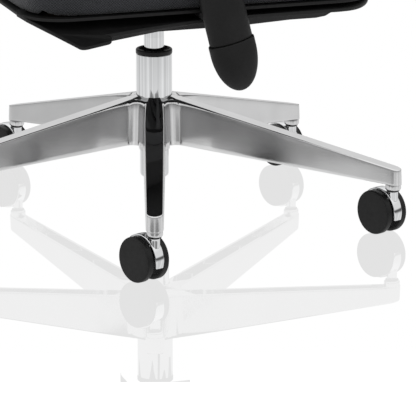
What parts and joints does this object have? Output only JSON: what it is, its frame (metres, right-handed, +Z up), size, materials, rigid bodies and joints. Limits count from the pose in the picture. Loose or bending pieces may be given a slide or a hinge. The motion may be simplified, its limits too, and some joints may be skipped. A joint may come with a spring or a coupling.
{
  "type": "swivel office chair",
  "caption": "Swivel office chair with a polished five-arm base on twin-wheel casters, gas lift, tilt mechanism, padded seat and back, and height-adjustable armrests.",
  "frame": {"origin": "the centre of the chair's outer box, on the floor; the swivel axis stands 20.3 mm to +X and 23.7 mm to +Y of it", "axes": "+Z up, the chair faces -Y, the sitter's left is +X"},
  "size_m": [0.7302, 0.7202, 1.03],
  "materials": {
    "polished_aluminium": "polished",
    "chrome": "polished",
    "steel": "satin",
    "black_steel": "satin",
    "black_plastic": "matte",
    "wheel_plastic": "satin",
    "armpad": "matte",
    "fabric": "matte",
    "plywood": "matte"
  },
  "bodies": {
    "base": {"star_base": "polished_aluminium", "lift_column": "chrome", "lift_guide_bush": "black_plastic", "lift_thrust_bearing": "steel"},
    "caster_1": {"caster_1_hood": "chrome", "caster_1_stem": "steel"},
    "caster_1_wheels": {"caster_1_axle": "steel", "caster_1_wheel_a": "wheel_plastic", "caster_1_wheel_b": "wheel_plastic"},
    "caster_2": {"caster_2_hood": "chrome", "caster_2_stem": "steel"},
    "caster_2_wheels": {"caster_2_axle": "steel", "caster_2_wheel_a": "wheel_plastic", "caster_2_wheel_b": "wheel_plastic"},
    "caster_3": {"caster_3_hood": "chrome", "caster_3_stem": "steel"},
    "caster_3_wheels": {"caster_3_axle": "steel", "caster_3_wheel_a": "wheel_plastic", "caster_3_wheel_b": "wheel_plastic"},
    "caster_4": {"caster_4_hood": "chrome", "caster_4_stem": "steel"},
    "caster_4_wheels": {"caster_4_axle": "steel", "caster_4_wheel_a": "wheel_plastic", "caster_4_wheel_b": "wheel_plastic"},
    "caster_5": {"caster_5_hood": "chrome", "caster_5_stem": "steel"},
    "caster_5_wheels": {"caster_5_axle": "steel", "caster_5_wheel_a": "wheel_plastic", "caster_5_wheel_b": "wheel_plastic"},
    "lift_rod": {"lift_rod": "chrome", "lift_rod_clip": "steel"},
    "carriage": {"gas_spring_cylinder": "chrome", "mechanism_housing": "black_steel", "tilt_pin": "steel", "recline_pin": "steel", "tension_spring": "steel"},
    "release_pin": {"lift_release_pin": "steel"},
    "height_lever": {"height_lever": "black_plastic"},
    "tilt_lock_lever": {"tilt_lock_lever": "black_plastic"},
    "tension_knob": {"tension_knob": "black_plastic"},
    "seat": {"seat_plate": "black_steel", "seat_shell": "black_plastic", "seat_panel": "plywood", "seat_cushion": "fabric", "left_arm_bracket": "black_steel", "left_arm_boot": "black_plastic", "left_arm_sleeve": "black_plastic", "right_arm_bracket": "black_steel", "right_arm_boot": "black_plastic", "right_arm_sleeve": "black_plastic"},
    "back": {"back_bracket": "black_steel", "back_shell": "black_plastic", "back_cushion": "fabric"},
    "left_armrest": {"left_arm_post": "black_plastic", "left_arm_pad": "armpad"},
    "left_arm_button": {"left_arm_button": "black_plastic"},
    "right_armrest": {"right_arm_post": "black_plastic", "right_arm_pad": "armpad"},
    "right_arm_button": {"right_arm_button": "black_plastic"}
  },
  "joints": [
    {"name": "caster_1_swivel", "type": "hinge", "parent": "base", "child": "caster_1", "pos_m": [0.02032, -0.32331, 0.06], "axis": [0, 0, 1], "continuous": true},
    {"name": "caster_1_roll", "type": "hinge", "parent": "caster_1", "child": "caster_1_wheels", "pos_m": [0, -0.33173, 0.031], "axis": [0.3827, -0.9239, 0], "continuous": true},
    {"name": "caster_2_swivel", "type": "hinge", "parent": "base", "child": "caster_2", "pos_m": [0.35034, -0.08354, 0.06], "axis": [0, 0, 1], "continuous": true},
    {"name": "caster_2_roll", "type": "hinge", "parent": "caster_2", "child": "caster_2_wheels", "pos_m": [0.33002, -0.09196, 0.031], "axis": [0.3827, -0.9239, 0], "continuous": true},
    {"name": "caster_3_swivel", "type": "hinge", "parent": "base", "child": "caster_3", "pos_m": [0.22429, 0.30442, 0.06], "axis": [0, 0, 1], "continuous": true},
    {"name": "caster_3_roll", "type": "hinge", "parent": "caster_3", "child": "caster_3_wheels", "pos_m": [0.20396, 0.296, 0.031], "axis": [0.3827, -0.9239, 0], "continuous": true},
    {"name": "caster_4_swivel", "type": "hinge", "parent": "base", "child": "caster_4", "pos_m": [-0.18364, 0.30442, 0.06], "axis": [0, 0, 1], "continuous": true},
    {"name": "caster_4_roll", "type": "hinge", "parent": "caster_4", "child": "caster_4_wheels", "pos_m": [-0.20396, 0.296, 0.031], "axis": [0.3827, -0.9239, 0], "continuous": true},
    {"name": "caster_5_swivel", "type": "hinge", "parent": "base", "child": "caster_5", "pos_m": [-0.30969, -0.08354, 0.06], "axis": [0, 0, 1], "continuous": true},
    {"name": "caster_5_roll", "type": "hinge", "parent": "caster_5", "child": "caster_5_wheels", "pos_m": [-0.33002, -0.09196, 0.031], "axis": [0.3827, -0.9239, 0], "continuous": true},
    {"name": "seat_swivel", "type": "hinge", "parent": "base", "child": "lift_rod", "pos_m": [0.02032, 0.02369, 0.066], "axis": [0, 0, 1], "continuous": true},
    {"name": "seat_height", "type": "slide", "parent": "lift_rod", "child": "carriage", "axis": [0, 0, 1], "range_m": [0, 0.1]},
    {"name": "height_lever_lift", "type": "hinge", "parent": "carriage", "child": "height_lever", "pos_m": [-0.01968, 0.02369, 0.31], "axis": [0, 1, 0], "range_deg": [0, 6], "stiffness_Nm_per_rad": 1.5},
    {"name": "release_pin_press", "type": "slide", "parent": "carriage", "child": "release_pin", "axis": [0, 0, 1], "range_m": [-0.0045, 0], "stiffness_N_per_m": 1000},
    {"name": "tilt_lock_lever_lift", "type": "hinge", "parent": "carriage", "child": "tilt_lock_lever", "pos_m": [-0.01968, -0.01031, 0.31], "axis": [0, 1, 0], "range_deg": [0, 10]},
    {"name": "tension_knob_turn", "type": "hinge", "parent": "carriage", "child": "tension_knob", "pos_m": [0.02032, -0.07631, 0.294], "axis": [0, -1, 0], "range_deg": [0, 1800]},
    {"name": "back_recline", "type": "hinge", "parent": "carriage", "child": "back", "pos_m": [0.02032, 0.05769, 0.29], "axis": [-1, 0, 0], "range_deg": [0, 20], "stiffness_Nm_per_rad": 60, "springref_deg": -28.65},
    {"name": "seat_tilt", "type": "hinge", "parent": "carriage", "child": "seat", "pos_m": [0.02032, -0.04631, 0.314], "axis": [-1, 0, 0], "range_deg": [0, 8.5]},
    {"name": "left_armrest_height", "type": "slide", "parent": "seat", "child": "left_armrest", "axis": [0, -0.2419, 0.9703], "range_m": [0, 0.075]},
    {"name": "left_arm_button_press", "type": "slide", "parent": "left_armrest", "child": "left_arm_button", "axis": [-1, 0, 0], "range_m": [0, 0.003], "stiffness_N_per_m": 400},
    {"name": "right_armrest_height", "type": "slide", "parent": "seat", "child": "right_armrest", "axis": [0, -0.2419, 0.9703], "range_m": [0, 0.075]},
    {"name": "right_arm_button_press", "type": "slide", "parent": "right_armrest", "child": "right_arm_button", "axis": [1, 0, 0], "range_m": [0, 0.003], "stiffness_N_per_m": 400}
  ],
  "couplings": [
    {"joint": "release_pin_press", "follows": "height_lever_lift", "m_per_rad": -0.04},
    {"joint": "seat_tilt", "follows": "back_recline", "ratio": 0.4}
  ]
}
